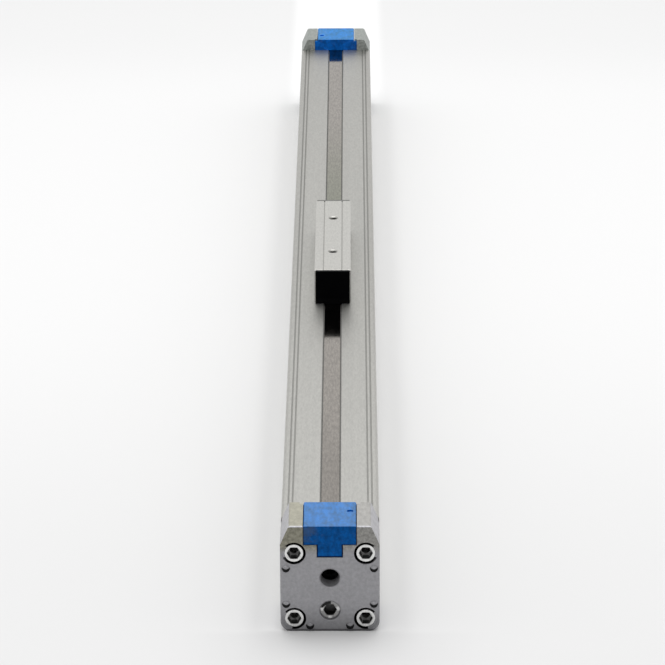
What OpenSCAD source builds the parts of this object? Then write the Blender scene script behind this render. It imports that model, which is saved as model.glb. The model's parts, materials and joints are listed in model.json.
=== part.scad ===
// Rodless pneumatic linear drive: a slotted barrel with a piston inside, and a driver
// outside that the piston carries along through the slot. Two bands close the slot.
// Frame: X across, Y along the barrel, Z up. Origin under the middle of the barrel.

/* [Travel] */
// Working stroke of the driver
stroke = 600; // [200:50:1200]
// Where the driver stands along the barrel, from mid-stroke
driver_position = -41; // [-90:1:90]
// Room left between the piston and each end cap at the end of the stroke
end_gap = 0.5; // [0.3:0.1:2]

/* [Barrel] */
// Width of the barrel and of both end caps
barrel_w = 45; // [44:0.5:48]
// Height of the barrel
barrel_h = 45; // [44:0.5:47]
// Bore that the piston runs in
bore_d = 25; // [24:0.25:26]
// Thickness of the barrel's roof, over the top of the bore
roof_t = 6.25; // [5.75:0.25:6.5]
// Width of the slot over the bore
slot_w = 5.6; // [5:0.1:6.2]
// Distance between the cap screws, across and up
screw_pitch = 32.5; // [32:0.1:33]
// Air duct below the bore
duct_d = 5.5; // [4:0.25:6]
// How far the air duct's axis lies below the bore's wall
duct_below = 5.75; // [5.5:0.05:6.25]
// Radius of the barrel's lower edges
base_edge_r = 2.5; // [1:0.25:4]
// Radius of the barrel's upper edges
top_edge_r = 1.6; // [0.5:0.1:2.5]

/* [Barrel grooves] */
// Mouth of the sensor slot on each side
sensor_mouth = 5.2; // [4.5:0.1:6]
// Width of the sensor slot behind its lips
sensor_inner = 6.8; // [6.2:0.1:7.6]
// Depth of the sensor slot
sensor_depth = 4.9; // [4:0.1:5.4]
// Thickness of the sensor slot's lips
sensor_lip = 1.3; // [0.8:0.1:1.8]
// Height of the sensor slot's middle
sensor_z = 20.5; // [19:0.25:24]
// Mouth of the clamping groove low on each side
clamp_mouth = 3; // [2:0.1:3.4]
// Width of the clamping groove at its bottom
clamp_inner = 4.4; // [3.6:0.1:4.8]
// Depth of the clamping groove
clamp_depth = 2; // [1:0.1:2.4]
// Height of the clamping groove's middle
clamp_z = 12.6; // [12:0.1:13.4]
// Width of the two narrow grooves along each upper edge
edge_groove_w = 0.8; // [0.3:0.1:1]
// Depth of the narrow grooves
edge_groove_depth = 0.7; // [0.5:0.1:1.6]
// Middle of the two narrow grooves, in from the barrel's side
edge_groove_in = 4.1; // [3.2:0.1:4.6]
// Distance between the two narrow grooves
edge_groove_pitch = 1.9; // [1.4:0.1:2.2]

/* [Bands] */
// Width of the steel cover band
cover_band_w = 8.4; // [8:0.1:9.4]
// Thickness of the steel cover band
cover_band_t = 0.3; // [0.2:0.05:0.5]
// Depth of the groove that the cover band lies in
band_groove_depth = 0.8; // [0.6:0.05:1]
// Gap beside the cover band in its groove
band_side_gap = 0.6; // [0.2:0.05:1]
// Chamfer along both lips of that groove
band_lip = 0.2; // [0.1:0.05:0.4]
// Width of the inner sealing band
seal_band_w = 8.2; // [7.4:0.1:8.8]
// Thickness of the sealing band over the middle of the bore
seal_band_t = 0.8; // [0.6:0.05:1.1]
// How far the cover band rises to pass over the web
cover_lift = 5.2; // [4.6:0.1:5.8]
// How far the sealing band dips to pass under the web
seal_drop = 5.2; // [4.4:0.1:6]

/* [End caps] */
// Length of each end cap along the barrel
cap_len = 27; // [25:0.5:32]
// How far each end cap stands above the barrel
cap_rise = 7; // [6:0.25:9]
// How far below the barrel's top the end cap's sides start to lean in
shoulder_drop = 2; // [0.5:0.25:4]
// How far the end cap's top edge lies in from its side
cap_lean = 3.3; // [2:0.1:4.5]
// Radius of the end cap's lower corners
cap_corner_r = 5; // [3:0.25:5.5]
// Radius of the end cap's top corners
cap_top_r = 1.5; // [0.5:0.1:2]
// Length of the boss that enters the bore
boss_len = 7; // [6:0.25:10]
// Diameter of the six round pips on the end face
pip_d = 3.3; // [2.4:0.1:3.6]
// How far the pips stand out
pip_h = 0.8; // [0.6:0.1:1.4]
// How far the pips near the sides lie in from them
pip_in = 2.6; // [2.2:0.1:3]
// How far the upper pips lie below the upper screws
pip_below = 7.55; // [7.5:0.05:9]
// How far the middle pips lie above the lower screws
pip_above = 7.15; // [6.5:0.05:8]
// Distance between the lowest pips
low_pip_pitch = 18.2; // [12:0.2:19]
// Height of the lowest pips
low_pip_z = 2.4; // [1.9:0.1:4]

/* [Ports] */
// Thread core of the pipe ports
port_d = 8.8; // [8.2:0.1:9.2]
// Depth of the main port's thread
port_depth = 11; // [9:0.5:12]
// How far the lower port's axis lies above the air duct's
low_port_rise = 2.2; // [2:0.1:2.8]
// Depth of the lower port and of the side ports
plug_port_depth = 9; // [8.5:0.25:10]
// Distance of the side ports from the end face
side_port_y = 14; // [13:0.25:15]
// Air passage through the end cap
passage_d = 6; // [4:0.25:6.5]
// Length of a port plug
plug_len = 6.5; // [5:0.25:7]
// Width across the flats of a port plug's socket
plug_hex = 5.4; // [4:0.1:5.5]
// How deep a port plug sits below the face
plug_sunk = 1.2; // [0.5:0.1:1.8]

/* [Cap screws] */
// Thread of the cap screws
screw_d = 5; // [4:0.1:5.2]
// Length of a cap screw's thread in the barrel
screw_grip = 20; // [12:1:30]
// Head diameter of the cap screws
head_d = 8.4; // [8.2:0.1:9.2]
// Head length of the cap screws
head_len = 15; // [13:0.5:16]
// Counterbore around a cap screw's head
counterbore_d = 10.8; // [10.4:0.1:11]
// How far each counterbore's axis lies in from its screw's axis
counterbore_in = 0; // [0:0.05:0.4]
// How deep a head sits below the end face
head_sunk = 0.4; // [0.2:0.1:1]
// Width across the flats of a head's socket
head_hex = 5.6; // [4.8:0.1:5.6]
// Depth of a head's socket
head_hex_depth = 4.5; // [3:0.25:5]
// Female thread inside a head, behind its socket
head_thread_d = 4.2; // [3.2:0.1:4.4]
// Depth of the female thread, from the face of the head
head_thread_depth = 12.5; // [10:0.5:12.5]

/* [Band cover and clamp] */
// Width of the plastic band cover
cover_w = 24; // [22:0.5:24.5]
// Width of the flange at the band cover's inner end
cover_flange_w = 27.4; // [26:0.1:28]
// Thickness of that flange
cover_flange_t = 1.2; // [1:0.1:1.6]
// How far the channel floor that the cover stands on lies below the barrel's top
channel_drop = 2.2; // [1.8:0.1:2.6]
// Wall of the band cover
cover_wall = 1.6; // [1.2:0.1:2]
// Width of the cover's tongue
tongue_w = 11.4; // [9:0.2:12]
// How far the tongue reaches below the channel floor
tongue_drop = 5.8; // [4:0.2:7.6]
// Diameter of the round mark in the band cover's top
mark_d = 3; // [2:0.1:4]
// Depth of the mark
mark_depth = 0.8; // [0.3:0.1:1.2]
// How far the mark lies in from the band cover's side
mark_in = 2.8; // [2.4:0.1:4]
// Distance of the mark from the end face
mark_y = 17; // [5:0.5:22]
// Thickness of the tongue
tongue_t = 3.4; // [2:0.1:4]
// Length of the clamp plate
clamp_len = 8; // [6:0.5:9]
// Thickness of the clamp plate
clamp_t = 2.4; // [1.6:0.1:2.8]
// Width of the clamp plate
clamp_w = 20; // [18:0.5:20.4]
// Distance of the clamp screws from the middle
clamp_screw_x = 7.5; // [7:0.1:7.8]

/* [Driver] */
// Width of the driver
driver_w = 19.2; // [18:0.2:20]
// Length of the driver's metal block
driver_len = 112; // [104:1:120]
// Height of the driver's top face above the barrel
driver_rise = 18.5; // [17:0.25:21]
// Distance between the driver's two mounting holes
driver_hole_pitch = 54; // [40:1:60]
// Core diameter of the driver's mounting threads
driver_hole_d = 4.2; // [3.3:0.1:5]
// Chamfer round the mouth of each mounting hole
driver_hole_chamfer = 0.7; // [0.3:0.1:1]
// Depth of the driver's mounting threads
driver_hole_depth = 9; // [6:0.5:10]
// Width of the web that passes through the slot
web_w = 4.8; // [4:0.1:4.9]
// Half the length of the web
web_half = 20; // [16:0.5:20.5]
// Thickness of the flange under the cover band
flange_t = 2.6; // [2:0.1:2.9]
// Distance between the two lines along the driver's top
line_pitch = 9.8; // [8:0.1:11]
// Width of those lines
line_w = 0.6; // [0.3:0.1:1]
// Depth of those lines
line_depth = 0.5; // [0.2:0.1:0.8]
// Thickness of the plastic guide plate at each end
guide_t = 2; // [1.4:0.1:3]
// Width of the plastic guide plate
guide_w = 18.1; // [15:0.1:18.4]
// Height of the wiper under the guide plate
wiper_h = 2.8; // [2.2:0.1:3.4]

/* [Piston] */
// Length of the piston over both heads
piston_len = 131; // [128:0.5:140]
// Half the length of the yoke between the heads
yoke_half = 36; // [35:0.5:38]
// Running gap between the piston and the bore
piston_gap = 0.3; // [0.2:0.05:0.5]
// Diameter of the stub that joins each head to the yoke
stub_d = 12; // [10:0.25:13]
// Length of that stub
stub_len = 8; // [7:0.25:9]
// Diameter of the cross pin through the stub
pin_d = 3; // [2:0.1:4]
// Length of each head's nose, in front of the lip seal
nose_len = 4.5; // [4.2:0.1:6]
// Length of the guide ring on each head
guide_ring_len = 5; // [3:0.25:5.5]
// Length of the ring magnet on each head
magnet_len = 4.5; // [3:0.25:5]
// Length of the lip seal on each head
lip_seal_len = 4; // [3:0.25:4.5]

/* [Cushioning] */
// Diameter of the cushioning spigot on each end cap
spigot_d = 10; // [8:0.25:10.5]
// How far the spigot reaches past the boss
spigot_reach = 22; // [15:0.5:23]
// Diameter of the regulating screw
needle_d = 5; // [4:0.1:5.2]
// Distance of the regulating screw from the end face
needle_y = 15.5; // [15:0.1:16]
// How far the regulating screw's axis lies below the bore's
needle_below = 8.45; // [8.1:0.05:8.8]
// How deep the regulating screw's shoulder sits at rest
needle_sunk = 1.4; // [1.2:0.1:2]
// Diameter of the slotted stem on the regulating screw
stem_d = 2; // [1.6:0.1:2.6]
// How deep the end of that stem sits at rest
stem_sunk = 0.4; // [0.2:0.1:0.8]

/* [Hidden] */
$fn = 48;
eps = 0.01;

// Clearances
fit_gap = 0.05;         // between pieces that are pressed or screwed together
seat_gap = 0.1;         // between pieces that drop into each other
run_gap = 0.3;          // between the driver and the barrel
thread_gap = 0.05;      // beside a thread, which is drawn as a plain shank
cover_proud = 0.1;      // the band cover stands this far above its end cap

// Lengths
barrel_len = stroke + piston_len + 2 * (boss_len + end_gap);
overall_len = barrel_len + 2 * cap_len;

// Heights
bore_r = bore_d / 2;
bore_top_z = barrel_h - roof_t;
bore_z = bore_top_z - bore_r;
duct_z = bore_z - bore_r - duct_below;
low_port_z = duct_z + low_port_rise;
needle_z = bore_z - needle_below;
cap_h = barrel_h + cap_rise;
shoulder_z = barrel_h - shoulder_drop;
channel_z = barrel_h - channel_drop;
tongue_z = channel_z - tongue_drop;
driver_top_z = barrel_h + driver_rise;
band_floor_z = barrel_h - band_groove_depth;
cover_band_z = band_floor_z + fit_gap;
seal_seat_z = bore_top_z + seal_band_t;
seal_band_gap = 0.2;    // beside the sealing band in its seat
low_screw_z = (barrel_h - screw_pitch) / 2;
screw_places = [for (x = [-1, 1], z = [0, 1]) [x * screw_pitch / 2, low_screw_z + z * screw_pitch]];

// Bands over the driver
ramp_len_cover = 27;    // length of each slope of the cover band
flat_half_cover = web_half + 5;
ramp_len_seal = 15;     // length of each slope of the sealing band
flat_half_seal = web_half + 1;
ramp_steps = 10;
seal_low_z = bore_top_z - seal_drop;

// Driver
driver_foot_z = barrel_h + 1;
flange_z = cover_band_z + cover_lift - run_gap - flange_t;
tunnel_w = cover_band_w + 1.1;
tunnel_top_z = cover_band_z + cover_lift + cover_band_t + 1.4;
wiper_z = barrel_h + 0.2;
guide_z = wiper_z + wiper_h + fit_gap;
edge_chamfer = 0.5;

// Piston
piston_r = bore_r - piston_gap;
piston_half = piston_len / 2;
ring_gap = 0.05;        // between a sealing ring and the bore
cushion_bore_d = spigot_d + 0.8;
cushion_bore_depth = spigot_reach + 1;
cushion_seal_len = 2.4;
cushion_seal_wall = 2.2;
groove_land = 1.5;      // wall between two grooves of a piston head
lip_seal_wall = 2.6;
guide_ring_wall = 1.3;
magnet_wall = 3;
lip_seal_y = piston_half - nose_len - lip_seal_len;
magnet_y = lip_seal_y - groove_land - magnet_len;
guide_ring_y = magnet_y - groove_land - guide_ring_len;

// End caps
boss_r = bore_r - 0.1;
bore_seal_r = 0.85;     // half the thickness of the seal on the boss
duct_seal_r = 0.6;      // half the thickness of the seal round the duct
spigot_seat = 5;        // how far the spigot goes into the boss
channel_gap = 0.2;
tongue_gap = 0.25;
cover_flange_drop = 1.0;    // the flange's top edge, below the end cap's top
clamp_screw_d = 3;
clamp_screw_head_d = 5.5;
clamp_screw_head_h = 2.2;
clamp_screw_depth = 4.5;
clamp_y = cap_len - 2 - clamp_len;
grub_d = 4;
grub_y = clamp_y - 3;
band_end_y = clamp_y - 0.5;
seal_end_y = grub_y - 2;
ledge_w = 11;
bleed_d = 1.6;
bleed_x = 4;
needle_end_x = 10;      // where the regulating screw's bore ends
pip_places = [
    [barrel_w / 2 - pip_in, low_screw_z + screw_pitch - pip_below],
    [barrel_w / 2 - pip_in, low_screw_z + pip_above],
    [low_pip_pitch / 2, low_pip_z]];

// ---------------------------------------------------------------- helpers

// Points on an arc about a centre, from one angle to another
function arc(centre, r, from, to, steps = 6) =
    [for (i = [0:steps]) let (a = from + (to - from) * i / steps)
        [centre[0] + r * cos(a), centre[1] + r * sin(a)]];

// Smooth step from 0 to 1
function ease(t) = (1 - cos(180 * min(max(t, 0), 1))) / 2;

// Rise of the cover band and dip of the sealing band, at a distance from the driver's middle
function cover_rise(u) = cover_lift * ease((flat_half_cover + ramp_len_cover - abs(u)) / ramp_len_cover);
function seal_dip(u) = seal_drop * ease((flat_half_seal + ramp_len_seal - abs(u)) / ramp_len_seal);

// Stations along one slope of a band, from the flat outwards
function stations(flat_half, ramp_len) =
    [for (i = [0:ramp_steps]) flat_half + ramp_len * i / ramp_steps];

// The same stations on both sides of the middle, in order
function both_sides(list) =
    concat([for (i = [len(list) - 1:-1:0]) -list[i]], list);

// An outline in X and Z, drawn out along Y
module along_y(len, from = 0) {
    translate([0, from + len, 0]) rotate([90, 0, 0]) linear_extrude(len) children();
}

// An outline in Y and Z, drawn out across X
module across_x(width) {
    translate([-width / 2, 0, 0]) rotate([90, 0, 90]) linear_extrude(width) children();
}

module rod_y(d, len, from = 0, x = 0, z = 0, fn = 48) {
    translate([x, from, z]) rotate([-90, 0, 0]) cylinder(d = d, h = len, $fn = fn);
}

module cone_y(d1, d2, len, from = 0, x = 0, z = 0) {
    translate([x, from, z]) rotate([-90, 0, 0]) cylinder(d1 = d1, d2 = d2, h = len);
}

module rod_x(d, len, from, y, z, fn = 48) {
    translate([from, y, z]) rotate([0, 90, 0]) cylinder(d = d, h = len, $fn = fn);
}

module tube_y(r_out, r_in, len, from) {
    translate([0, from, bore_z]) rotate([-90, 0, 0]) difference() {
        cylinder(r = r_out, h = len);
        translate([0, 0, -eps]) cylinder(r = r_in, h = len + 2 * eps);
    }
}

// A block centred on X, given by its Y and Z limits
module block(width, y, z) {
    translate([-width / 2, y[0], z[0]]) cube([width, y[1] - y[0], z[1] - z[0]]);
}

// Both ends of the barrel: y = 0 is the outer face of an end cap
module at_front() {
    translate([0, -overall_len / 2, 0]) children();
}
module at_rear() {
    rotate([0, 0, 180]) at_front() children();
}

// Pieces that travel with the driver: y = 0 is the driver's middle, and +Y is outwards
module on_driver() {
    translate([0, driver_position, 0]) children();
}
module on_driver_front() {
    on_driver() rotate([0, 0, 180]) children();
}

// ---------------------------------------------------------------- barrel

module barrel_outline() {
    w = barrel_w / 2;
    polygon(concat(
        arc([w - base_edge_r, base_edge_r], base_edge_r, -90, 0),
        arc([w - top_edge_r, barrel_h - top_edge_r], top_edge_r, 0, 90),
        arc([-w + top_edge_r, barrel_h - top_edge_r], top_edge_r, 90, 180),
        arc([-w + base_edge_r, base_edge_r], base_edge_r, 180, 270)));
}

// The sealing band's own section: flat above, and curved with the bore below
module seal_band_section(gap = 0) {
    difference() {
        translate([-seal_band_w / 2 - gap, bore_z])
            square([seal_band_w + 2 * gap, seal_seat_z - fit_gap - bore_z + gap]);
        translate([0, bore_z]) circle(r = bore_r - gap);
    }
}

module side_grooves() {
    for (side = [0, 1]) mirror([side, 0]) {
        translate([barrel_w / 2 - sensor_lip, sensor_z - sensor_mouth / 2])
            square([sensor_lip + 1, sensor_mouth]);
        translate([barrel_w / 2 - sensor_depth, sensor_z - sensor_inner / 2])
            square([sensor_depth - sensor_lip + eps, sensor_inner]);
        polygon([
            [barrel_w / 2 + eps, clamp_z - clamp_mouth / 2],
            [barrel_w / 2 + eps, clamp_z + clamp_mouth / 2],
            [barrel_w / 2 - clamp_depth, clamp_z + clamp_inner / 2],
            [barrel_w / 2 - clamp_depth, clamp_z - clamp_inner / 2]]);
        for (side_x = [-1, 1])
            translate([barrel_w / 2 - edge_groove_in + side_x * edge_groove_pitch / 2 - edge_groove_w / 2,
                barrel_h - edge_groove_depth]) square([edge_groove_w, edge_groove_depth + 1]);
    }
}

module barrel_section() {
    groove_w = cover_band_w + 2 * band_side_gap;
    seat_w = seal_band_w + 2 * seal_band_gap;
    difference() {
        barrel_outline();
        translate([0, bore_z]) circle(r = bore_r, $fn = 96);
        translate([-slot_w / 2, bore_z]) square([slot_w, barrel_h]);
        translate([-seat_w / 2, bore_z]) square([seat_w, seal_seat_z - bore_z]);
        translate([-groove_w / 2, band_floor_z]) square([groove_w, band_groove_depth + 1]);
        polygon([[-groove_w / 2, barrel_h - band_lip], [groove_w / 2, barrel_h - band_lip],
            [groove_w / 2 + band_lip + eps, barrel_h + eps],
            [-groove_w / 2 - band_lip - eps, barrel_h + eps]]);
        translate([0, duct_z]) circle(d = duct_d);
        for (p = screw_places) translate(p) circle(d = screw_d + 2 * thread_gap);
        side_grooves();
    }
}

module barrel_profile() {
    color("silver") along_y(barrel_len, -barrel_len / 2) barrel_section();
}

// ---------------------------------------------------------------- bands

// Outline of a band seen from the side: it follows a height at each station
module band_side(stations_y, heights, thickness) {
    n = len(stations_y);
    polygon(concat(
        [for (i = [0:n - 1]) [stations_y[i], heights[i]]],
        [for (i = [n - 1:-1:0]) [stations_y[i], heights[i] + thickness]]));
}

module cover_band() {
    half = overall_len / 2 - band_end_y;
    ramp = both_sides(stations(flat_half_cover, ramp_len_cover));
    ys = concat([-half - driver_position], ramp, [half - driver_position]);
    color("lightgray") on_driver() across_x(cover_band_w)
        band_side(ys, [for (u = ys) cover_band_z + cover_rise(u)], cover_band_t);
}

module sealing_band() {
    half = overall_len / 2 - seal_end_y;
    start = flat_half_seal + ramp_len_seal;
    ys = both_sides(stations(flat_half_seal, ramp_len_seal));
    color("dimgray") {
        on_driver() across_x(seal_band_w)
            band_side(ys, [for (u = ys) bore_top_z - seal_dip(u)], seal_band_t - fit_gap);
        along_y(half + driver_position - start, -half) seal_band_section();
        along_y(half - driver_position - start, driver_position + start) seal_band_section();
    }
}

// ---------------------------------------------------------------- end caps

module cap_outline() {
    w = barrel_w / 2;
    lean = atan(cap_lean / (cap_h - shoulder_z));
    top_in = w - cap_lean - cap_top_r;
    polygon(concat(
        arc([w - cap_corner_r, cap_corner_r], cap_corner_r, -90, 0, 10),
        [[w, shoulder_z]],
        arc([top_in, cap_h - cap_top_r], cap_top_r, lean, 90, 5),
        arc([-top_in, cap_h - cap_top_r], cap_top_r, 90, 180 - lean, 5),
        [[-w, shoulder_z]],
        arc([-w + cap_corner_r, cap_corner_r], cap_corner_r, 180, 270, 10)));
}

// Threaded port with a countersunk mouth, along Y from the end face
module port_y(depth, z) {
    mouth = 0.7;
    rod_y(port_d, depth, 0, 0, z);
    translate([0, -eps, z]) rotate([-90, 0, 0])
        cylinder(d1 = port_d + 2 * mouth, d2 = port_d, h = mouth);
}

module cap_screw_holes() {
    for (p = screw_places) {
        rod_y(counterbore_d, head_len + head_sunk + fit_gap + eps, -eps,
            p[0] - sign(p[0]) * counterbore_in, p[1]);
        rod_y(screw_d + 0.5, cap_len + 1, 0, p[0], p[1]);
    }
}

module cap_ports() {
    port_y(port_depth, bore_z);
    rod_y(passage_d, cap_len + boss_len + 1, 1, 0, bore_z);
    rod_y(spigot_d + 2 * fit_gap, spigot_seat + 1, cap_len + boss_len - spigot_seat, 0, bore_z);
    port_y(plug_port_depth, low_port_z);
    rod_y(duct_d, cap_len, plug_port_depth - 2, 0, duct_z);
    seal_t = 2 * duct_seal_r;
    rod_y(duct_d + 2 * seal_t + 4 * fit_gap, 1.2 * seal_t, cap_len - 1.1 * seal_t, 0, duct_z);
    cross_len = barrel_w - 2 * plug_port_depth;
    rod_x(passage_d - 1, cross_len, -cross_len / 2, side_port_y, bore_z);
    for (side = [0, 1]) mirror([side, 0, 0])
        rod_x(port_d, plug_port_depth + 1, barrel_w / 2 - plug_port_depth, side_port_y, bore_z);
}

// Bore of the regulating screw, and the drillings that lead past its tip
module cap_needle_bore() {
    rod_x(needle_d, barrel_w, needle_end_x, needle_y, needle_z);
    rod_x(bleed_d, needle_end_x - bleed_x + 1, bleed_x, needle_y, needle_z);
    rod_y(bleed_d, cap_len + boss_len, needle_y, bleed_x, needle_z);
    translate([needle_end_x + bleed_d / 2, needle_y, needle_z])
        cylinder(d = bleed_d, h = bore_z - needle_z);
}

module cap_channel() {
    half_w = cover_w / 2 + channel_gap;
    difference() {
        block(2 * half_w, [-1, cap_len + 1], [channel_z, cap_h + 1]);
        block(ledge_w, [clamp_y - 1, cap_len + 2], [channel_z - 1, band_floor_z]);
    }
    difference() {
        block(cover_flange_w + 2 * channel_gap, [cap_len - cover_flange_t - 2 * channel_gap, cap_len + 1],
            [channel_z, cap_h + 1]);
        block(ledge_w, [clamp_y - 1, cap_len + 2], [channel_z - 1, band_floor_z]);
    }
    block(tongue_w + 2 * tongue_gap, [-1, tongue_t + 2 * seat_gap],
        [tongue_z - tongue_gap, channel_z + eps]);
    along_y(cap_len, seal_end_y - 1) seal_band_section(seat_gap);
    translate([0, grub_y, bore_top_z]) cylinder(d = grub_d + 2 * thread_gap, h = channel_z);
    for (x = [-1, 1]) translate([x * clamp_screw_x, clamp_y + clamp_len / 2, channel_z - clamp_screw_depth])
        cylinder(d = clamp_screw_d + 2 * thread_gap, h = clamp_screw_depth + 1);
}

module boss() {
    difference() {
        rod_y(2 * boss_r, boss_len, cap_len, 0, bore_z, 96);
        tube_y(bore_r + 1, bore_r - 2 * bore_seal_r - 2 * fit_gap,
            2 * bore_seal_r + 0.4, bore_seal_y() - bore_seal_r - 0.2);
    }
}
function bore_seal_y() = cap_len + boss_len / 2;

// Short round pip on the end face, with a rounded edge
module pip() {
    r = 0.5;
    rotate([90, 0, 0]) rotate_extrude($fn = 32)
        polygon(concat([[0, -0.2], [pip_d / 2, -0.2]],
            arc([pip_d / 2 - r, pip_h - r], r, 0, 90, 4), [[0, pip_h]]));
}

module end_cap() {
    color("darkgray") difference() {
        union() {
            along_y(cap_len) cap_outline();
            boss();
            for (p = pip_places, side = [-1, 1]) translate([side * p[0], 0, p[1]]) pip();
        }
        cap_screw_holes();
        cap_ports();
        cap_needle_bore();
        cap_channel();
    }
}

// Collar screw: a long head with a socket and a female thread, and a threaded shank
module cap_screws() {
    shank_y = head_sunk + head_len;
    color("gainsboro") for (p = screw_places) difference() {
        union() {
            rod_y(head_d, head_len, head_sunk, p[0], p[1]);
            rod_y(screw_d, cap_len - shank_y + screw_grip, shank_y, p[0], p[1]);
        }
        rod_y(head_hex / cos(30), head_hex_depth + eps, head_sunk - eps, p[0], p[1], 6);
        rod_y(head_thread_d, head_thread_depth, head_sunk, p[0], p[1]);
    }
}

// ---------------------------------------------------------------- band cover and clamp

module cover_outline() {
    w = cover_w / 2;
    r = 0.8;
    top = cap_h + cover_proud;
    polygon(concat(
        [[w, channel_z + channel_gap]],
        arc([w - r, top - r], r, 0, 90),
        arc([-w + r, top - r], r, 90, 180),
        [[-w, channel_z + channel_gap]]));
}

module band_cover() {
    face = 0.1;
    color("royalblue") difference() {
        union() {
            along_y(cap_len - 2 * face, face) cover_outline();
            block(cover_flange_w, [cap_len - face - cover_flange_t, cap_len - face],
                [channel_z + channel_gap, cap_h - cover_flange_drop]);
            block(tongue_w, [face, tongue_t], [tongue_z, channel_z + 1]);
        }
        block(cover_w - 2 * cover_wall, [tongue_t, cap_len - face - cover_wall],
            [channel_z - 1, cap_h + cover_proud - cover_wall]);
        block(ledge_w + 1, [tongue_t, cap_len + 1], [channel_z - 1, cover_band_z + cover_band_t + 0.2]);
        translate([cover_w / 2 - mark_in, mark_y, cap_h + cover_proud - mark_depth])
            cylinder(d = mark_d, h = 2);
    }
}

module band_clamp() {
    z = cover_band_z + cover_band_t + fit_gap;
    color("lightslategray") difference() {
        block(clamp_w, [clamp_y, clamp_y + clamp_len], [z, z + clamp_t]);
        for (x = [-1, 1]) translate([x * clamp_screw_x, clamp_y + clamp_len / 2, z - 1])
            cylinder(d = clamp_screw_d + 0.3, h = clamp_t + 2);
    }
}

module clamp_screws() {
    z = cover_band_z + cover_band_t + fit_gap + clamp_t;
    color("dimgray") {
        for (x = [-1, 1]) translate([x * clamp_screw_x, clamp_y + clamp_len / 2, 0]) difference() {
            union() {
                translate([0, 0, z]) cylinder(d = clamp_screw_head_d, h = clamp_screw_head_h);
                translate([0, 0, channel_z - clamp_screw_depth + 0.5])
                    cylinder(d = clamp_screw_d, h = z - channel_z + clamp_screw_depth);
            }
            translate([0, 0, z + 0.8]) cylinder(d = 2.5 / cos(30), h = 2, $fn = 6);
        }
        translate([0, grub_y, seal_seat_z + fit_gap]) difference() {
            cylinder(d = grub_d, h = channel_z - seal_seat_z - 2 * fit_gap);
            translate([0, 0, 1]) cylinder(d = 2 / cos(30), h = channel_z, $fn = 6);
        }
    }
}

// ---------------------------------------------------------------- seals, plugs, cushioning

module o_ring(centre_r, r) {
    rotate([90, 0, 0]) rotate_extrude() translate([centre_r, 0]) circle(r = r, $fn = 24);
}

module bore_seal() {
    color("black") translate([0, bore_seal_y(), bore_z])
        o_ring(bore_r - ring_gap - bore_seal_r, bore_seal_r);
}

module duct_seal() {
    color("black") translate([0, cap_len - duct_seal_r - fit_gap, duct_z])
        o_ring(duct_d / 2 + duct_seal_r + fit_gap, duct_seal_r);
}

module port_plug() {
    // Stands on its inner end, with the socket upwards
    color("gray") difference() {
        cylinder(d = port_d - 2 * thread_gap, h = plug_len);
        translate([0, 0, plug_len - 4]) cylinder(d = plug_hex / cos(30), h = 5, $fn = 6);
    }
}

module port_plugs() {
    translate([0, plug_sunk + plug_len, low_port_z]) rotate([90, 0, 0]) port_plug();
    for (side = [0, 1]) mirror([side, 0, 0])
        translate([barrel_w / 2 - plug_sunk - plug_len, side_port_y, bore_z]) rotate([0, 90, 0]) port_plug();
}

module cushion_spigot() {
    nose = 2;
    from = cap_len + boss_len - spigot_seat;
    len = spigot_seat + spigot_reach;
    color("silver") difference() {
        union() {
            rod_y(spigot_d, len - nose, from, 0, bore_z);
            cone_y(spigot_d, spigot_d - 1.6, nose, from + len - nose, 0, bore_z);
        }
        rod_y(passage_d, len + 2, from - 1, 0, bore_z);
    }
}

// Regulating screw along X: slotted stem, thread, seal groove and tapered tip
needle_head_x = barrel_w / 2 - needle_sunk;
stem_x = barrel_w / 2 - stem_sunk;
needle_groove_x = needle_end_x + 3;
needle_seal_r = 0.5;
needle_core_r = needle_d / 2 - 2 * needle_seal_r - 2 * fit_gap;

module cushion_needle() {
    shank_r = needle_d / 2 - fit_gap;
    tip_x = needle_end_x + 0.6;
    color("goldenrod") translate([0, needle_y, needle_z]) rotate([0, 90, 0]) difference() {
        union() {
            translate([0, 0, needle_groove_x + needle_seal_r + fit_gap])
                cylinder(r = shank_r, h = needle_head_x - needle_groove_x - needle_seal_r - fit_gap);
            translate([0, 0, tip_x + 1]) cylinder(r = needle_core_r, h = needle_groove_x - tip_x);
            translate([0, 0, tip_x + 1])
                cylinder(r = shank_r, h = needle_groove_x - needle_seal_r - fit_gap - tip_x - 1);
            translate([0, 0, tip_x]) cylinder(r1 = bleed_d / 2, r2 = needle_core_r, h = 1);
            translate([0, 0, needle_head_x - 1]) cylinder(d = stem_d, h = stem_x - needle_head_x + 1);
        }
        translate([-stem_d, -0.25, stem_x - 0.8]) cube([2 * stem_d, 0.5, 2]);
    }
}

module needle_seal() {
    color("black") translate([needle_groove_x, needle_y, needle_z]) rotate([0, 0, 90])
        o_ring(needle_core_r + fit_gap + needle_seal_r, needle_seal_r);
}

// ---------------------------------------------------------------- driver and piston yoke

// Block that stands outside the barrel, with a tunnel for the cover band
module driver_block() {
    half = driver_len / 2;
    c = edge_chamfer;
    difference() {
        across_x(driver_w) polygon([
            [-half, driver_foot_z], [half, driver_foot_z],
            [half, driver_top_z - c], [half - c, driver_top_z],
            [-half + c, driver_top_z], [-half, driver_top_z - c]]);
        block(tunnel_w, [-half - 1, half + 1], [driver_foot_z - 1, tunnel_top_z]);
        for (x = [-1, 1]) translate([x * line_pitch / 2 - line_w / 2, -half - 1, driver_top_z - line_depth])
            cube([line_w, driver_len + 2, 1]);
        for (y = [-1, 1]) translate([0, y * driver_hole_pitch / 2, driver_top_z - driver_hole_depth]) {
            cylinder(d = driver_hole_d, h = driver_hole_depth + 1);
            translate([0, 0, driver_hole_depth - driver_hole_chamfer])
                cylinder(d1 = driver_hole_d, d2 = driver_hole_d + 2 * (driver_hole_chamfer + eps),
                    h = driver_hole_chamfer + eps);
        }
    }
}

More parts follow.
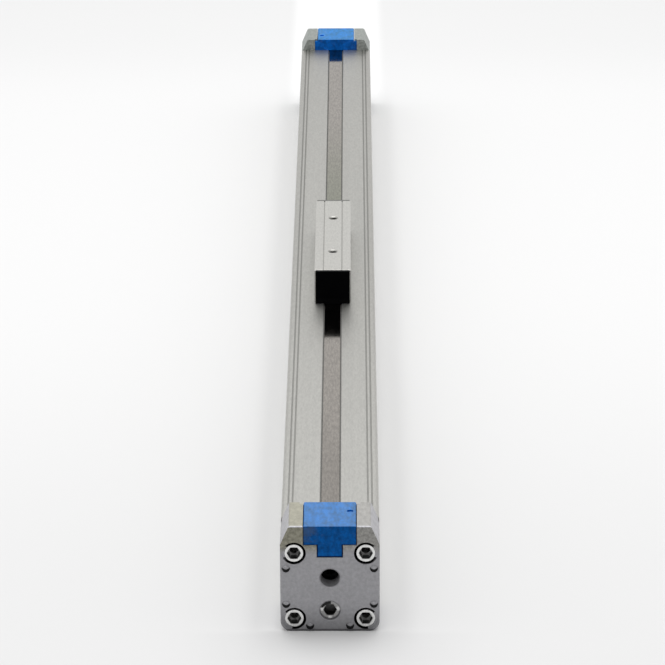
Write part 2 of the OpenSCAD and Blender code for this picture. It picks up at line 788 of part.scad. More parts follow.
// Flange under the raised cover band, with sloping ends
module driver_flange() {
    foot = barrel_h + run_gap;
    across_x(driver_w) polygon([
        [-web_half - 4, foot], [web_half + 4, foot], [web_half + 4, flange_z + 0.6],
        [web_half, flange_z + flange_t], [-web_half, flange_z + flange_t], [-web_half - 4, flange_z + 0.6]]);
}

// Space that the sealing band needs on its way under the web
module seal_band_path() {
    gap = 0.3;
    ys = both_sides(stations(flat_half_seal, ramp_len_seal));
    across_x(seal_band_w + 2 * gap)
        band_side(ys, [for (u = ys) bore_top_z - seal_dip(u) - gap], seal_band_t + 2 * gap);
    slope = stations(flat_half_seal, ramp_len_seal);
    for (turn = [0, 180]) rotate([0, 0, turn]) across_x(seal_band_w + 2 * gap)
        polygon(concat([for (u = slope) [u, bore_top_z - seal_dip(u) - gap]],
            [[slope[ramp_steps], bore_top_z + 1], [web_half, bore_top_z + 1],
            [web_half, seal_low_z + seal_band_t]]));
}

module piston_yoke() {
    color("lightgray") on_driver() difference() {
        union() {
            driver_block();
            driver_flange();
            block(web_w, [-web_half, web_half], [bore_z + piston_r / 2, barrel_h + 1]);
            rod_y(2 * piston_r, 2 * yoke_half, -yoke_half, 0, bore_z, 96);
        }
        seal_band_path();
        for (turn = [0, 180]) rotate([0, 0, turn])
            rod_y(stub_d + 2 * fit_gap, stub_len + 1, yoke_half - stub_len - fit_gap, 0, bore_z);
        for (y = pin_places) rod_x(pin_d, barrel_w, -barrel_w / 2, y, bore_z);
    }
}

pin_y = yoke_half - stub_len / 2;
pin_places = [-pin_y, pin_y];
pin_len = 2 * piston_r - 2.5;

module head_pins() {
    color("gray") on_driver() for (y = pin_places)
        rod_x(pin_d - 2 * fit_gap, pin_len, -pin_len / 2, y, bore_z);
}

// Plate at the end of the driver, with a wedge that holds the cover band down
module strip_guide() {
    half = driver_len / 2;
    wedge_end = flat_half_cover + 6;
    steps = 8;
    ys = [for (i = [0:steps]) half + fit_gap - (half + fit_gap - wedge_end) * i / steps];
    underside = [for (u = ys) [u, max(cover_band_z + cover_rise(u) + cover_band_t + 0.15, wiper_z)]];
    color("black") {
        block(guide_w, [half + fit_gap, half + fit_gap + guide_t], [guide_z, driver_top_z - 0.2]);
        across_x(tunnel_w - 2 * seat_gap) polygon(concat(
            underside, [[wedge_end, tunnel_top_z - seat_gap], [half + fit_gap + 1, tunnel_top_z - seat_gap],
            [half + fit_gap + 1, guide_z], [half + fit_gap, guide_z]]));
    }
}

module wiper() {
    from = driver_len / 2 + 2 * fit_gap;
    face = driver_len / 2 + fit_gap + guide_t;
    lip_z = cover_band_z + cover_band_t + 0.1;
    color("black") {
        block(guide_w, [from, face], [wiper_z, wiper_z + wiper_h]);
        block(cover_band_w, [face - 0.9, face], [lip_z, wiper_z + 1]);
    }
}

// ---------------------------------------------------------------- piston heads

module piston_head() {
    difference() {
        union() {
            rod_y(2 * piston_r, piston_half - yoke_half - 1, yoke_half, 0, bore_z, 96);
            cone_y(2 * piston_r, 2 * piston_r - 2, 1, piston_half - 1, 0, bore_z);
            rod_y(stub_d, stub_len, yoke_half - stub_len, 0, bore_z);
        }
        rod_y(cushion_bore_d, cushion_bore_depth + 1, piston_half - cushion_bore_depth, 0, bore_z);
        rod_y(cushion_bore_d + 2 * cushion_seal_wall, cushion_seal_len + 0.2,
            piston_half - groove_land - cushion_seal_len - 0.1, 0, bore_z);
        head_groove(guide_ring_y, guide_ring_len, guide_ring_wall);
        head_groove(magnet_y, magnet_len, magnet_wall);
        head_groove(lip_seal_y, lip_seal_len, lip_seal_wall);
        rod_x(pin_d, barrel_w, -barrel_w / 2, pin_y, bore_z);
    }
}

module head_groove(from, len, wall) {
    tube_y(bore_r + 1, piston_r - wall, len + 0.2, from - 0.1);
}

module guide_ring() {
    color("ivory") tube_y(bore_r - ring_gap, piston_r - guide_ring_wall + fit_gap,
        guide_ring_len, guide_ring_y);
}

module piston_magnet() {
    color("dimgray") tube_y(piston_r - fit_gap, piston_r - magnet_wall + fit_gap, magnet_len, magnet_y);
}

// Lip seal: a ring with a flared outer lip and a hollow towards the pressure
module piston_seal() {
    inner = piston_r - lip_seal_wall + fit_gap;
    outer = bore_r - ring_gap;
    color("darkolivegreen") translate([0, lip_seal_y, bore_z]) rotate([-90, 0, 0]) rotate_extrude($fn = 96)
        polygon([[inner, 0], [outer - 0.4, 0], [outer, lip_seal_len], [outer - 0.8, lip_seal_len],
            [(inner + outer) / 2, lip_seal_len - 2], [inner + 0.8, lip_seal_len], [inner, lip_seal_len]]);
}

module cushion_seal() {
    color("darkolivegreen") tube_y(cushion_bore_d / 2 + cushion_seal_wall - fit_gap, spigot_d / 2 + 0.1,
        cushion_seal_len, piston_half - groove_land - cushion_seal_len);
}

// ---------------------------------------------------------------- nodes

barrel_profile();
cover_band();
sealing_band();
at_front() end_cap();  // front_end_cap
at_rear() end_cap();  // rear_end_cap
at_front() cap_screws();  // front_cap_screws
at_rear() cap_screws();  // rear_cap_screws
at_front() band_cover();  // front_band_cover
at_rear() band_cover();  // rear_band_cover
at_front() band_clamp();  // front_band_clamp
at_rear() band_clamp();  // rear_band_clamp
at_front() clamp_screws();  // front_clamp_screws
at_rear() clamp_screws();  // rear_clamp_screws
at_front() bore_seal();  // front_bore_seal
at_rear() bore_seal();  // rear_bore_seal
at_front() duct_seal();  // front_duct_seal
at_rear() duct_seal();  // rear_duct_seal
at_front() cushion_spigot();  // front_cushion_spigot
at_rear() cushion_spigot();  // rear_cushion_spigot
at_front() port_plugs();  // front_port_plugs
at_rear() port_plugs();  // rear_port_plugs
at_front() cushion_needle();  // front_cushion_needle
at_rear() cushion_needle();  // rear_cushion_needle
at_front() needle_seal();  // front_needle_seal
at_rear() needle_seal();  // rear_needle_seal
piston_yoke();
head_pins();
on_driver_front() strip_guide();  // front_strip_guide
on_driver() strip_guide();  // rear_strip_guide
on_driver_front() wiper();  // front_wiper
on_driver() wiper();  // rear_wiper
color("whitesmoke") on_driver_front() piston_head();  // front_piston_head
color("whitesmoke") on_driver() piston_head();  // rear_piston_head
on_driver_front() guide_ring();  // front_guide_ring
on_driver() guide_ring();  // rear_guide_ring
on_driver_front() piston_magnet();  // front_piston_magnet
on_driver() piston_magnet();  // rear_piston_magnet
on_driver_front() piston_seal();  // front_piston_seal
on_driver() piston_seal();  // rear_piston_seal
on_driver_front() cushion_seal();  // front_cushion_seal
on_driver() cushion_seal();  // rear_cushion_seal
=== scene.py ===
"""Finishes, bands, threads and stage for a rodless pneumatic drive, built round its fixed model."""
import json
import math

import bmesh
import bpy
from bpy.props import FloatProperty, FloatVectorProperty, IntProperty, PointerProperty
from mathutils import Matrix, Vector


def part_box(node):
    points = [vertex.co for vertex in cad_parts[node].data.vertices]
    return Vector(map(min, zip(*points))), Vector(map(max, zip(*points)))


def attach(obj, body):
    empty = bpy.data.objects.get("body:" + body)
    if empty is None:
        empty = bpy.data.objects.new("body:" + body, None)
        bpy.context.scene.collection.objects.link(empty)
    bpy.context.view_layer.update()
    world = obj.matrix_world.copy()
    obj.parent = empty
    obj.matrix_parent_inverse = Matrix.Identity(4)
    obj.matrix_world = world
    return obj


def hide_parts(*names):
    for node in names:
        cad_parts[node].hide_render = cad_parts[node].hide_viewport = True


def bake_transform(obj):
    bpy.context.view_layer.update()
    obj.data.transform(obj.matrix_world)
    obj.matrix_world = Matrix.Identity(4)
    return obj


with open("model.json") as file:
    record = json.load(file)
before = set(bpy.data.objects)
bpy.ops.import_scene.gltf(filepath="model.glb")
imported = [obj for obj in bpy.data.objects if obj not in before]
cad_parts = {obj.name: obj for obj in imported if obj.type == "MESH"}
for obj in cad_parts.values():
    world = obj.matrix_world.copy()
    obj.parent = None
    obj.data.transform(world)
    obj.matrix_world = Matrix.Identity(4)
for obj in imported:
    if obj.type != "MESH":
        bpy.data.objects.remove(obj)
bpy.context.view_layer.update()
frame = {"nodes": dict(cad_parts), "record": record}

bl_info = {
    "name": "Rodless Drive Dresser",
    "version": (1, 0, 0),
    "blender": (4, 5, 0),
    "location": "3D View > Sidebar > Drive",
    "description": "Gives a rodless pneumatic drive its finishes, bands, threads and stage",
    "category": "Object",
}

MM = 0.001
NODES = frame["nodes"]
ENDS = {"front": -1, "rear": 1}


# ------------------------------------------------------------------ places read from the model, and the pips' places

BARREL_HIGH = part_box("barrel_profile")[1]
SIDE_X = BARREL_HIGH.x
BAND_LOW, BAND_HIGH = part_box("cover_band")
SEAL_LOW, SEAL_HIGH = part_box("sealing_band")
DRIVER_LOW, DRIVER_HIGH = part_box("piston_yoke")
DRIVER_Y = ((DRIVER_LOW + DRIVER_HIGH) / 2).y
DRIVER_TOP = DRIVER_HIGH.z
CAP_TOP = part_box("rear_end_cap")[1].z
FACE_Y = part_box("rear_band_cover")[1].y + 0.0001
MOUNTS = {mount["name"]: mount for mount in frame["record"]["mounts"]}
BORE_Z = MOUNTS["front_port"]["pos_m"][2]
LOW_PORT_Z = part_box("front_port_plugs")[0].z + 0.00425
SIDE_PORT_Y = FACE_Y - 0.014
SCREW_HALF = MOUNTS["front_foot_holes"]["dims"]["spacing_x_mm"] * MM / 2
SCREW_Z = MOUNTS["front_foot_holes"]["pos_m"][2]
PIPS = ((0.0199, 0.0315), (0.0199, 0.0137), (0.0091, 0.0030))


# ------------------------------------------------------------------ shader maths

class Sock:
    """One output of a shader tree that takes part in sums with numbers and other outputs."""

    def __init__(self, tree, output):
        self.tree = tree
        self.output = output

    def _sum(self, operation, *terms):
        return self.tree.node("ShaderNodeMath", {"operation": operation}, dict(enumerate(terms)))

    def __add__(self, other):
        return self._sum("ADD", self, other)

    def __radd__(self, other):
        return self._sum("ADD", other, self)

    def __sub__(self, other):
        return self._sum("SUBTRACT", self, other)

    def __rsub__(self, other):
        return self._sum("SUBTRACT", other, self)

    def __mul__(self, other):
        return self._sum("MULTIPLY", self, other)

    def __rmul__(self, other):
        return self._sum("MULTIPLY", other, self)

    def __pow__(self, other):
        return self._sum("POWER", self, other)

    def __rpow__(self, other):
        return self._sum("POWER", other, self)

    def above(self, edge, width):
        """Smooth step from 0 to 1 over a width about an edge."""
        settings = {"interpolation_type": "SMOOTHSTEP"}
        inputs = {"Value": self, "From Min": edge - width / 2, "From Max": edge + width / 2}
        return self.tree.node("ShaderNodeMapRange", settings, inputs)

    def below(self, edge, width):
        """Smooth step from 1 to 0 over a width about an edge."""
        return 1.0 - self.above(edge, width)

    def size(self):
        """Value without its sign."""
        return self._sum("ABSOLUTE", self)

    def root(self):
        """Square root."""
        return self._sum("SQRT", self)

    def larger(self, other):
        """The larger of two values."""
        return self._sum("MAXIMUM", self, other)

    def clamped(self):
        """Value kept between 0 and 1."""
        return self.tree.node("ShaderNodeClamp", {}, {"Value": self, "Min": 0.0, "Max": 1.0})


class Tree:
    """A material's or a world's node tree."""

    def __init__(self, owner):
        owner.use_nodes = True
        self.tree = owner.node_tree
        self.tree.nodes.clear()

    def node(self, kind, settings=None, inputs=None, output=0):
        """Makes a node: its settings first, then values or links of its inputs."""
        made = self.tree.nodes.new(kind)
        for name, value in (settings or {}).items():
            if name == "stops":
                ramp = made.color_ramp
                while len(ramp.elements) < len(value):
                    ramp.elements.new(0.5)
                for element, (place, colour) in zip(ramp.elements, value):
                    element.position = place
                    element.color = (*colour, 1.0)
            else:
                setattr(made, name, value)
        for name, value in (inputs or {}).items():
            socket = made.inputs[name]
            if isinstance(value, Sock):
                self.tree.links.new(value.output, socket)
            elif hasattr(socket.default_value, "__len__") and len(socket.default_value) == 4:
                socket.default_value = (*value[:3], 1.0)
            else:
                socket.default_value = value
        return None if output is None else Sock(self, made.outputs[output])

    def place(self, scale=(1.0, 1.0, 1.0)):
        """Position on the piece in the model's metres, stretched by a scale."""
        point = self.node("ShaderNodeTexCoord", output="Object")
        return self.node("ShaderNodeVectorMath", {"operation": "MULTIPLY"}, {0: point, 1: scale})

    def noise(self, cells, detail=2.0, roughness=0.5):
        """Noise from 0 to 1, with a number of cells to the metre, alike or along X, Y and Z."""
        scale = cells if isinstance(cells, tuple) else (cells, cells, cells)
        inputs = {"Vector": self.place(scale), "Scale": 1.0, "Detail": detail, "Roughness": roughness}
        return self.node("ShaderNodeTexNoise", {}, inputs)

    def grained(self, colour, cells, amount):
        """A colour with lighter and darker speckle, a number of cells to the metre along X, Y and Z."""
        speckle = ((self.noise(cells, 2.0, 0.7) - 0.5) * 3.0 + 0.5).clamped()
        factor = 1.0 + (speckle - 0.5) * amount
        return self.node("ShaderNodeVectorMath", {"operation": "SCALE"}, {0: colour, "Scale": factor})

    def axis(self, name):
        """Position along one axis of the model, in metres."""
        return self.node("ShaderNodeSeparateXYZ", {}, {"Vector": self.place()}, output=name)

    def facing(self, name):
        """Share of a surface's outward direction along one axis, without its sign."""
        normal = self.node("ShaderNodeTexCoord", output="Normal")
        return self.node("ShaderNodeSeparateXYZ", {}, {"Vector": normal}, output=name).size()

    def end_depth(self):
        """Depth behind the nearer end face, in metres."""
        return FACE_Y - self.axis("Y").size()

    def round(self, first, second, radius, blur=0.0002):
        """1 within a radius of an axis, given by its place on two of the model's axes, and 0 beyond.

        X is taken without its sign, so that one place stands for the same one on both sides.
        """
        squares = []
        for name, place in (first, second):
            along = self.axis(name).size() if name == "X" else self.axis(name)
            squares.append((along - place) ** 2.0)
        return (squares[0] + squares[1]).root().below(radius, blur)

    def at_screws(self, radius, blur=0.0002):
        """1 within a radius of the four cap screws' axes."""
        lower, upper = (self.round(("X", SCREW_HALF), ("Z", SCREW_Z + above), radius, blur)
                        for above in (-SCREW_HALF, SCREW_HALF))
        return lower.larger(upper)

    def at_plug(self, radius, blur=0.0002, right=0.0, above=0.0):
        """1 within a radius of the low port's axis, or of a place to both sides of it or above it."""
        return self.round(("X", right), ("Z", LOW_PORT_Z + above), radius, blur)

    def at_side_ports(self, radius):
        """1 within a radius of the side ports' axes."""
        rear, front = (self.round(("Z", BORE_Z), ("Y", place), radius)
                       for place in (SIDE_PORT_Y, -SIDE_PORT_Y))
        return rear.larger(front)

    def seen(self):
        """1 for what the camera sees, straight or in metal or glass, and 0 for light that falls on things."""
        straight, glossy, through = (self.node("ShaderNodeLightPath", output=name) for name in
                                     ("Is Camera Ray", "Is Glossy Ray", "Is Transmission Ray"))
        return (straight + glossy + through).clamped()

    def mix(self, share, first, second):
        """Colour between two colours."""
        settings = {"data_type": "RGBA"}
        return self.node("ShaderNodeMix", settings, {0: share, 6: first, 7: second}, output=2)

    def bump(self, height, depth, strength=1.0):
        """Normal of a surface raised by height times depth in metres."""
        inputs = {"Strength": strength, "Distance": depth, "Height": height}
        return self.node("ShaderNodeBump", {}, inputs)

    def surface(self, **inputs):
        """The surface shader, with its inputs by name, joined to the material's output."""
        named = {name.replace("_", " ").title().replace("Ior", "IOR"): value
                 for name, value in inputs.items()}
        shader = self.node("ShaderNodeBsdfPrincipled", {}, named)
        self.node("ShaderNodeOutputMaterial", {}, {"Surface": shader}, output=None)


def shade(colour, factor):
    """A colour made lighter or darker."""
    return tuple(min(1.0, channel * factor) for channel in colour[:3])


def tinted(colour, shares):
    """A colour with a share of each of its channels."""
    return tuple(channel * share for channel, share in zip(colour, shares))


def darken_and_dull(tree, tone, rough, dirt_and_shade, share):
    """Darkens and dulls a finish by a mask, which holds painted shade where little light comes."""
    near_black = (0.006, 0.006, 0.006)
    return tree.mix((dirt_and_shade * share).clamped(), tone, near_black), rough + dirt_and_shade * 0.2


def drawn_metal(name, colour, roughness, lines, depth, darkening_of):
    """Metal with fine die lines along the barrel, and darkening where a function of the tree says, mostly
    painted shade.
    """
    material = bpy.data.materials.new(name)
    tree = Tree(material)
    fine = tree.noise((lines, 6.0, lines), 3.0, 0.6)
    broad = tree.noise((lines / 9, 2.0, lines / 9), 2.0, 0.5)
    grain = tree.noise(2600.0, 2.0, 0.5)
    streaks = (fine * 0.6 + broad * 0.4).clamped()
    tone = tree.mix(streaks, shade(colour, 0.93), shade(colour, 1.06))
    tone = tree.grained(tone, (1300.0, 320.0, 900.0), 0.14)
    rough = roughness + (streaks - 0.5) * 0.10 + (grain - 0.5) * 0.06
    tone, rough = darken_and_dull(tree, tone, rough, darkening_of(tree), 0.8)
    tree.surface(base_color=tone, metallic=1.0, roughness=rough.clamped(),
                 normal=tree.bump(fine * 0.7 + grain * 0.3, depth))
    return material


def barrel_darkening(tree):
    """Painted shade in the grooves along the barrel's top, a faint painted shade beside the driver's place,
    and a slightly darker band outside the shoulders.
    """
    fainter_x, shoulder_x, corner_x, driver_shade_y = 0.012, 0.0183, 0.0207, -0.06
    depth, across = BARREL_HIGH.z - tree.axis("Z"), tree.axis("X").size()
    # Painted shade in the grooves, fainter towards the sides
    grooves = depth.above(0.0004, 0.0003) * depth.below(0.003, 0.001) * 0.8
    grooves = grooves * (1.0 - across.above(fainter_x, 0.001) * 0.45) * across.below(corner_x, 0.0002)
    # Faint painted shade beside the driver, where it stands
    driver_shade = (tree.axis("Y") - driver_shade_y).size().below(0.10, 0.06) * 0.035
    return grooves.larger(driver_shade + across.above(shoulder_x, 0.0006) * 0.05)


def driver_painted_shade(tree):
    """Painted shade in the lines and holes on the driver's top, on the holes' rims to damp their glint, and
    along its ends' upper edges.
    """
    line_x, line_half, hole_radius, hole_depth = 0.0049, 0.00042, 0.0024, 0.011
    depth, across = DRIVER_TOP - tree.axis("Z"), tree.axis("X").size()
    line = (across - line_x).size().below(line_half, 0.0001) * depth.above(0.00022, 0.0002)
    line = line * depth.below(0.001, 0.0002) * 0.35
    inside = across.below(hole_radius, 0.0002) * depth.below(hole_depth, 0.001)
    hole, rim = depth.above(0.0009, 0.0005) * inside, depth.above(0.00014, 0.0001) * inside * 0.45
    edge = tree.facing("Y").above(0.3, 0.3) * depth.below(0.0006, 0.0002) * 0.35
    return line.larger(hole).larger(rim).larger(edge)


def cover_shade_and_smear(tree):
    """Painted shade along the outline of a band cover's end face, and a dull smear on it."""
    side_x, tongue_x, wing_z, foot_z, smear_x, smear_z = 0.0117, 0.0053, 0.0432, 0.0375, -0.0065, 0.0445
    across, high = tree.axis("X").size(), tree.axis("Z")
    line = across.above(side_x, 0.0003).larger(high.below(wing_z, 0.0003) * across.above(tongue_x, 0.0003))
    line = line.larger(high.below(foot_z, 0.0003))
    smear = tree.noise((160.0, 160.0, 230.0), 3.0, 0.6).above(0.46, 0.2)
    smear = smear * tree.axis("X").below(smear_x, 0.004) * high.above(smear_z, 0.002)
    face = tree.facing("Y").above(0.7, 0.3) * tree.end_depth().below(0.004, 0.001)
    return line * face * 0.8, smear * face * 0.4


def cap_painted_shade(tree):
    """Painted shade in the end caps' ports, counterbores, channels and side ports, painted shadows under
    their pips, and painted shade at the joint with the barrel, round the low port's lower rim and along the
    bottom edge.
    """
    port_radius, well_radius, side_radius = 0.0052, 0.0055, 0.0046
    channel_x, channel_z, pocket_x, pocket_z = 0.01222, 0.04285, 0.00597, 0.03675
    joint_x, joint_z, joint_near, joint_far = 0.0222, 0.0430, 0.0240, 0.0268
    depth, across, high = tree.end_depth(), tree.axis("X").size(), tree.axis("Z")

    # Painted shade in the ports, behind the low plug, in the counterbores but for their outer sides, in the
    # channels and in the side ports
    shaded = high.above(BORE_Z + 0.0004, 0.0016) * depth.above(0.0007, 0.0004)
    port = tree.round(("X", 0.0), ("Z", BORE_Z), port_radius) * depth.above(0.0078, 0.0014).larger(shaded)
    plug = tree.at_plug(port_radius) * depth.above(0.0011, 0.0006) * 0.85
    outside = across.above(SCREW_HALF + 0.0036, 0.0012) * 0.75
    low_outside = across.above(SCREW_HALF + 0.0018, 0.0024) * high.below(BORE_Z, 0.01) * 0.8
    wells = tree.at_screws(well_radius) * depth.above(0.0004, 0.0003) * (1.0 - outside) * (1.0 - low_outside)
    channel = across.below(channel_x, 0.00005) * high.above(channel_z, 0.0001)
    pocket = across.below(pocket_x, 0.00005) * high.above(pocket_z, 0.0001)
    sides = tree.at_side_ports(side_radius) * (SIDE_X - across).above(0.0009, 0.001) * 0.8
    dirt_and_shade = port.larger(plug).larger(wells).larger(channel).larger(pocket).larger(sides)

    # Painted shadow under each pip
    for right, above in PIPS:
        shadow = 1.0 - tree.round(("X", right), ("Z", above + 0.0009), 0.00115, 0.0004)
        foot = tree.round(("X", right), ("Z", above), 0.0019) * shadow
        dirt_and_shade = dirt_and_shade.larger(foot * high.below(above + 0.0003, 0.0009) * depth.below(0.002, 0.001))
    # Painted shade at the joint with the barrel's upper corners
    joint = tree.round(("X", joint_x), ("Z", joint_z), 0.0011)
    joint = joint * depth.above(joint_near, 0.0006) * depth.below(joint_far, 0.0006)
    # Painted shade round the low port's lower rim and along the bottom edge
    rim = tree.at_plug(0.00475) * high.below(LOW_PORT_Z, 0.001) * 0.55
    rim = rim.larger(high.below(0.0010, 0.0008) * 0.6) * depth.below(0.001, 0.0004)
    return dirt_and_shade.larger(joint * 0.8).larger(rim)


def head_painted_shade(tree):
    """Painted shade in the sockets of the cap screws and port plugs, round the screws' sockets and over the
    low plug's ring, with two spots on that ring left lighter as painted glints.
    """
    socket, socket_edge, plug_socket, plug_edge, plug_head = 0.0032, 0.0030, 0.0033, 0.0029, 0.0047
    depth, across, high = tree.end_depth(), tree.axis("X"), tree.axis("Z")

    sockets = tree.at_screws(socket) * depth.above(0.0010, 0.0009)
    sockets = sockets * (0.85 - depth.above(0.0046, 0.0004) * 0.5)
    sockets = sockets.larger(tree.at_screws(socket_edge, 0.0005) * 0.5)
    plug = tree.at_plug(plug_socket) * depth.above(0.0015, 0.0005) * 0.93
    # Painted shadow on the upper left arc of the plug's ring
    arc = tree.at_plug(plug_head) * (1.0 - tree.at_plug(0.0036, 0.0004, above=-0.0008))
    plug = plug.larger(arc * across.below(0.0006, 0.0008) * high.above(LOW_PORT_Z + 0.001, 0.0008))
    # Painted shade over the plug's ring, lighter at two painted glints
    right_spot = tree.at_plug(0.0010, 0.0012, right=0.0038, above=0.0006)
    low_spot = tree.at_plug(0.0008, 0.0010, above=-0.0037)
    plug = plug.larger(tree.at_plug(plug_head) * (0.6 - right_spot.larger(low_spot) * 0.5))
    plug = plug.larger(tree.at_plug(plug_edge, 0.0004) * 0.85)
    sides = tree.at_side_ports(0.0031) * (SIDE_X - across.size()).above(0.0016, 0.0006)
    return sockets.larger(plug).larger(sides)


def blasted_metal(name, colour, roughness, painted_light_share):
    """Cast metal with a fine blasted skin and faint stains, and painted light and shade: a share paints warm
    light on its top and shade on its upper front face; its sloped sides get painted light, its top front edge
    a painted highlight and its lower part painted shade.
    """
    # Tints of painted warm light on the top, warmer on the left than on the right
    left_shares, right_shares = (0.86, 0.835, 0.63), (0.885, 0.873, 0.79)
    shoulder_z, slope_z, metallic = 0.0425, 0.0405, 0.5
    material = bpy.data.materials.new(name)
    tree = Tree(material)
    skin = tree.noise(2200.0, 4.0, 0.65)
    cloud = tree.noise(120.0, 4.0, 0.6)
    stain = tree.noise(420.0, 3.0, 0.6).above(0.62, 0.2)
    tone = tree.mix(cloud, shade(colour, 0.92), shade(colour, 1.06))
    tone = tree.mix(stain * 0.22, tone, shade(colour, 0.72))

    high, right_side = tree.axis("Z"), tree.axis("X").above(0.003, 0.02)
    left, right = tinted(colour, left_shares), tinted(colour, right_shares)
    upper = high.above(slope_z, 0.005)
    # Painted warm light on the top, by the share
    tone = tree.mix(high.above(shoulder_z, 0.008) * painted_light_share, tone, tree.mix(right_side, left, right))
    # Painted shade on the upper front face, by the same share
    tone = tree.mix(upper * tree.facing("Y").above(0.5, 0.3) * painted_light_share, tone,
                    tree.mix(right_side, shade(left, 0.80), shade(right, 0.92)))
    # Painted light on the sloped upper sides
    upper_side = high.above(shoulder_z, 0.004) * tree.facing("X").above(0.6, 0.5)
    tone = tree.mix(upper_side, tone, shade(colour, 1.12))
    # Painted highlight along the top front edge
    top_edge = high.above(CAP_TOP - 0.0004, 0.0004) * tree.end_depth().below(0.0011, 0.0006)
    tone = tree.mix(top_edge, tone, shade(colour, 1.4))
    # Painted shade towards the bottom
    tone = tree.mix(high.below(0.006, 0.018) * 0.7, tone, shade(colour, 0.45))
    tone = tree.grained(tone, (600.0, 300.0, 600.0), upper * (0.05 + tree.facing("Y") * 0.35) + 0.2)

    dirt_and_shade = cap_painted_shade(tree)
    tone, rough = darken_and_dull(tree, tone, roughness + (skin - 0.5) * 0.18 + stain * 0.06, dirt_and_shade, 0.95)
    tree.surface(base_color=tone, metallic=(dirt_and_shade * (1.0 - metallic) + metallic).clamped(),
                 roughness=rough.clamped(), normal=tree.bump(skin * 0.8 + cloud * 0.2, 0.00005))
    return material


def turned_metal(name, colour, roughness, darkening_of=None):
    """Plated or turned metal: bright, with fine scratches, a little dirt and, where a function says, painted
    shade.
    """
    material = bpy.data.materials.new(name)
    tree = Tree(material)
    scratch = tree.noise((1400.0, 5200.0, 1400.0), 3.0, 0.6)
    dirt_and_shade = tree.noise(600.0, 3.0, 0.6).above(0.6, 0.25)
    tone = tree.mix(dirt_and_shade * 0.3, colour, shade(colour, 0.55))
    rough = roughness + (scratch - 0.5) * 0.12 + dirt_and_shade * 0.15
    if darkening_of:
        tone, rough = darken_and_dull(tree, tone, rough, darkening_of(tree), 0.97)
    tree.surface(base_color=tone, metallic=1.0, roughness=rough.clamped(),
                 normal=tree.bump(scratch, 0.00001))
    return material


def moulded_plastic(name, colour, roughness, grain, wear_and_outline_shade=0.0, shine=0.5,
                    dust_and_sheen=0.0, dust_and_sheen_colour=(0.7, 1.0, 0.9)):
    """Moulded plastic or rubber with a fine grain and rubbed patches where it wears; on a band cover, painted
    shade along its face's outline and a smear; and a pale tint on its top, which on the band covers is a
    painted sheen.
    """
    outline_shade, smear_grey = (0.001, 0.002, 0.03), (0.12, 0.15, 0.16)
    material = bpy.data.materials.new(name)
    tree = Tree(material)
    skin = tree.noise(grain, 3.0, 0.6)
    cloud = tree.noise(90.0, 4.0, 0.6)
    rubbed = tree.noise((260.0, 60.0, 260.0), 4.0, 0.65).above(0.62, 0.2)
    tone = tree.mix(cloud, shade(colour, 0.9), shade(colour, 1.1))
    tone = tree.grained(tone, (350.0, 160.0, 300.0), 0.65 if wear_and_outline_shade else 0.45)
    tone = tree.mix(rubbed * wear_and_outline_shade, tone, tuple(0.75 * channel + 0.2 for channel in colour[:3]))
    # With wear, painted shade along a band cover's face outline, and a dull smear
    if wear_and_outline_shade:
        line, smear = cover_shade_and_smear(tree)
        tone = tree.mix(smear, tree.mix(line, tone, outline_shade), smear_grey)
    # A pale tint on the top, which on the band covers is a painted sheen
    if dust_and_sheen:
        tone = tree.mix(tree.facing("Z").above(0.6, 0.4) * dust_and_sheen, tone, dust_and_sheen_colour)
    rough = roughness + (skin - 0.5) * 0.16 - rubbed * 0.08
    tree.surface(base_color=tone, metallic=0.0, roughness=rough.clamped(), specular_ior_level=shine,
                 normal=tree.bump(skin, 0.00003))
    return material


# ------------------------------------------------------------------ mesh helpers

def give(node, material):
    """Gives a node of the model one finish."""
    slots = NODES[node].data.materials
    slots.clear()
    slots.append(material)


def soften(node, width, segments=2):
    """Rounds a node's sharp edges slightly, once the points that meet at them are joined."""
    weld_gap, sharp_angle, face_weight = 0.000002, 35, 80
    piece = NODES[node]
    weld = piece.modifiers.new("weld", "WELD")
    weld.merge_threshold = weld_gap
    bevel = piece.modifiers.new("edges", "BEVEL")
    bevel.width = width
    bevel.segments = segments
    bevel.limit_method = "ANGLE"
    bevel.angle_limit = math.radians(sharp_angle)
    bevel.use_clamp_overlap = True
    bevel.harden_normals = False
    smooth = piece.modifiers.new("normals", "WEIGHTED_NORMAL")
    smooth.keep_sharp = False
    smooth.weight = face_weight


def piece_from(name, points, faces, material, body, smooth_angle=35):
    """Makes a piece from points in the model's metres and sets it on a body, if one is given."""
    mesh = bpy.data.meshes.new(name)
    mesh.from_pydata(points, [], faces)
    mesh.materials.append(material)
    shape = bmesh.new()
    shape.from_mesh(mesh)
    bmesh.ops.recalc_face_normals(shape, faces=shape.faces)
    shape.to_mesh(mesh)
    shape.free()
    mesh.shade_smooth()
    mesh.set_sharp_from_angle(angle=math.radians(smooth_angle))
    piece = bpy.data.objects.new(name, mesh)
    bpy.context.scene.collection.objects.link(piece)
    if body:
        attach(piece, body)
    return piece


def tube_of(loops):
    """Faces of a closed skin through loops of points, with both ends filled."""
    count = len(loops[0])
    points = [point for loop in loops for point in loop]
    faces = []
    for step in range(len(loops) - 1):
        for index in range(count):
            following = (index + 1) % count
            faces.append((step * count + index, step * count + following,
                          (step + 1) * count + following, (step + 1) * count + index))
    faces.append(tuple(range(count)))
    faces.append(tuple((len(loops) - 1) * count + index for index in range(count)))
    return points, faces


def ease(share):
    """Smooth step from 0 to 1."""
    return (1 - math.cos(math.pi * min(max(share, 0), 1))) / 2


# ------------------------------------------------------------------ settings

def colour_setting(label, text, value):
    """A colour of a finish."""
    return FloatVectorProperty(name=label, description=text, subtype="COLOR", size=3,
                               min=0.0, max=1.0, default=value)


def length_setting(label, text, value):
    """A length in metres."""
    return FloatProperty(name=label, description=text, subtype="DISTANCE", unit="LENGTH",
                         min=0.0, max=1.0, default=value, precision=5)


